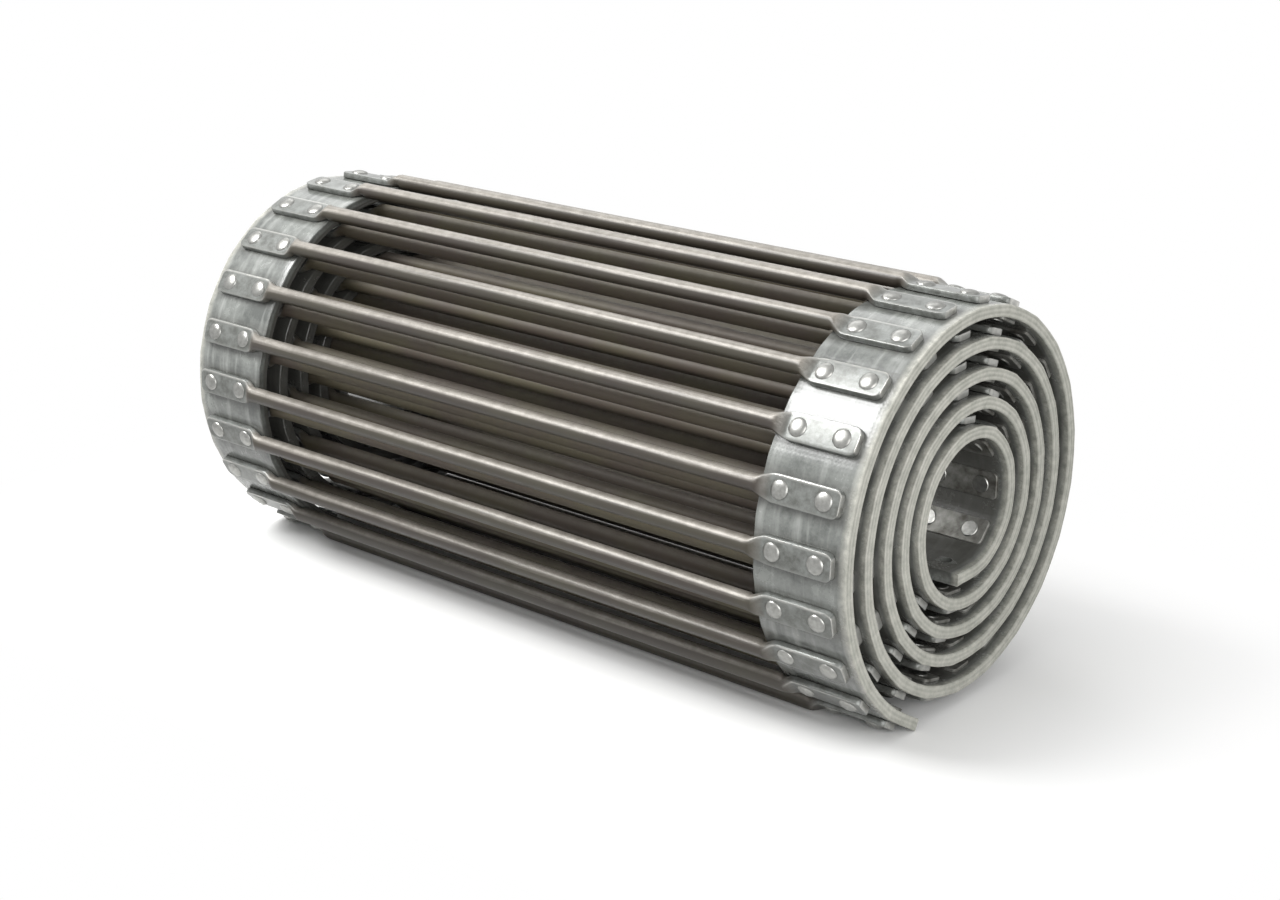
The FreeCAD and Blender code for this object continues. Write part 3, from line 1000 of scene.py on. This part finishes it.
def paleFloor():
    # Matt paper sweep: takes the shadow under the roll and runs out to plain white
    material, tree = startMaterial("MattPaperSweep")
    place = addNode(tree, "ShaderNodeTexCoord").outputs["Object"]
    mirrored = addNode(tree, "ShaderNodeVectorMath", {0: place}, operation="ABSOLUTE")
    outside = addNode(tree, "ShaderNodeVectorMath", {0: mirrored.outputs[0], 1: studio["footprint"]},
                      operation="SUBTRACT")
    beyond = addNode(tree, "ShaderNodeVectorMath", {0: outside.outputs[0], 1: (0, 0, 0)},
                     operation="MAXIMUM")
    away = addNode(tree, "ShaderNodeVectorMath", {0: beyond.outputs[0]}, operation="LENGTH")
    near, far = studio["fade"]
    fade = addNode(tree, "ShaderNodeMapRange",
                   {"Value": away.outputs["Value"], "From Min": near, "From Max": far},
                   interpolation_type="SMOOTHSTEP")
    seen = addNode(tree, "ShaderNodeLightPath")
    shown = addNode(tree, "ShaderNodeMath",
                    {0: seen.outputs["Is Camera Ray"], 1: seen.outputs["Is Glossy Ray"]},
                    operation="MAXIMUM")
    plain = addNode(tree, "ShaderNodeMath", {0: shown.outputs[0], 1: fade.outputs[0]}, operation="MULTIPLY")
    tone = addNode(tree, "ShaderNodeMix",
                   {0: seen.outputs["Is Diffuse Ray"], 6: hexColour(studio["floorColour"]),
                    7: hexColour(studio["bounceColour"])},
                   data_type="RGBA")
    paper = addNode(tree, "ShaderNodeBsdfDiffuse", {"Color": tone.outputs[2]})
    white = addNode(tree, "ShaderNodeEmission", {"Color": (1, 1, 1, 1), "Strength": 1.0})
    mixed = addNode(tree, "ShaderNodeMixShader",
                    {0: plain.outputs[0], 1: paper.outputs[0], 2: white.outputs[0]})
    endMaterial(tree, mixed)
    return material


def makeFloor():
    half = studio["floorSize"] / 2
    corners = [(-half, -half, 0), (half, -half, 0), (half, half, 0), (-half, half, 0)]
    floor = addPiece("floor", corners, [(0, 1, 2, 3)], paleFloor())


def makeLamps():
    for name, settings in lamps.items():
        lamp = bpy.data.lights.new(name, "AREA")
        lamp.shape = "RECTANGLE"
        lamp.size, lamp.size_y = settings["size"]
        lamp.energy = settings["power"]
        lampObject = bpy.data.objects.new(name, lamp)
        away = Vector(settings["from"]).normalized()
        lengthways = Vector(settings["along"])
        across = (lengthways - away * away.dot(lengthways)).normalized()
        lampObject.location = rollCentre + away * settings["distance"]
        lampObject.rotation_euler = Matrix((across, away.cross(across), away)).transposed().to_euler()
        bpy.context.scene.collection.objects.link(lampObject)


def makeWorld():
    world = bpy.data.worlds.new("studio")
    bpy.context.scene.world = world
    world.use_nodes = True
    tree = world.node_tree
    tree.nodes.clear()
    seen = addNode(tree, "ShaderNodeLightPath")
    glossy = addNode(tree, "ShaderNodeMath",
                     {0: seen.outputs["Is Camera Ray"], 1: seen.outputs["Is Glossy Ray"]},
                     operation="MAXIMUM")
    shown = addNode(tree, "ShaderNodeMath", {0: glossy.outputs[0], 1: seen.outputs["Is Transmission Ray"]},
                    operation="MAXIMUM")
    way = addNode(tree, "ShaderNodeTexCoord").outputs["Generated"]
    height = addNode(tree, "ShaderNodeSeparateXYZ", {"Vector": way})
    low, high = studio["worldLight"]
    overhead = addNode(tree, "ShaderNodeMapRange",
                       {"Value": height.outputs[2], "From Min": studio["worldLow"], "To Min": low,
                        "To Max": high})
    strength = addNode(tree, "ShaderNodeMix", {0: shown.outputs[0], 2: overhead.outputs[0], 3: 1.0})
    sky = addNode(tree, "ShaderNodeBackground", {"Color": (1, 1, 1, 1), "Strength": strength.outputs[0]})
    addNode(tree, "ShaderNodeOutputWorld", {"Surface": sky.outputs[0]})


view = {
    "azimuth": 40.81,  # degrees, from looking along +Y
    "elevation": 18.17,
    "distance": 1.342,  # metres from the roll's centre
    "lens": 60.14,
    "sensor": 36.0,
    "shift": (0.0185, -0.0282),
}


def makeCamera():
    azimuth = math.radians(view["azimuth"])
    elevation = math.radians(view["elevation"])
    level = math.cos(elevation)
    back = Vector((math.sin(azimuth) * level, -math.cos(azimuth) * level, math.sin(elevation)))
    camera = bpy.data.cameras.new("camera")
    camera.sensor_width = view["sensor"]
    camera.lens = view["lens"]
    camera.shift_x, camera.shift_y = view["shift"]
    cameraObject = bpy.data.objects.new("camera", camera)
    cameraObject.location = rollCentre + back * view["distance"]
    cameraObject.rotation_euler = back.to_track_quat("Z", "Y").to_euler()
    bpy.context.scene.collection.objects.link(cameraObject)
    bpy.context.scene.camera = cameraObject


makeFloor()
makeLamps()
makeWorld()
makeCamera()
bpy.context.scene.view_settings.view_transform = "Standard"
print("studio and camera set")
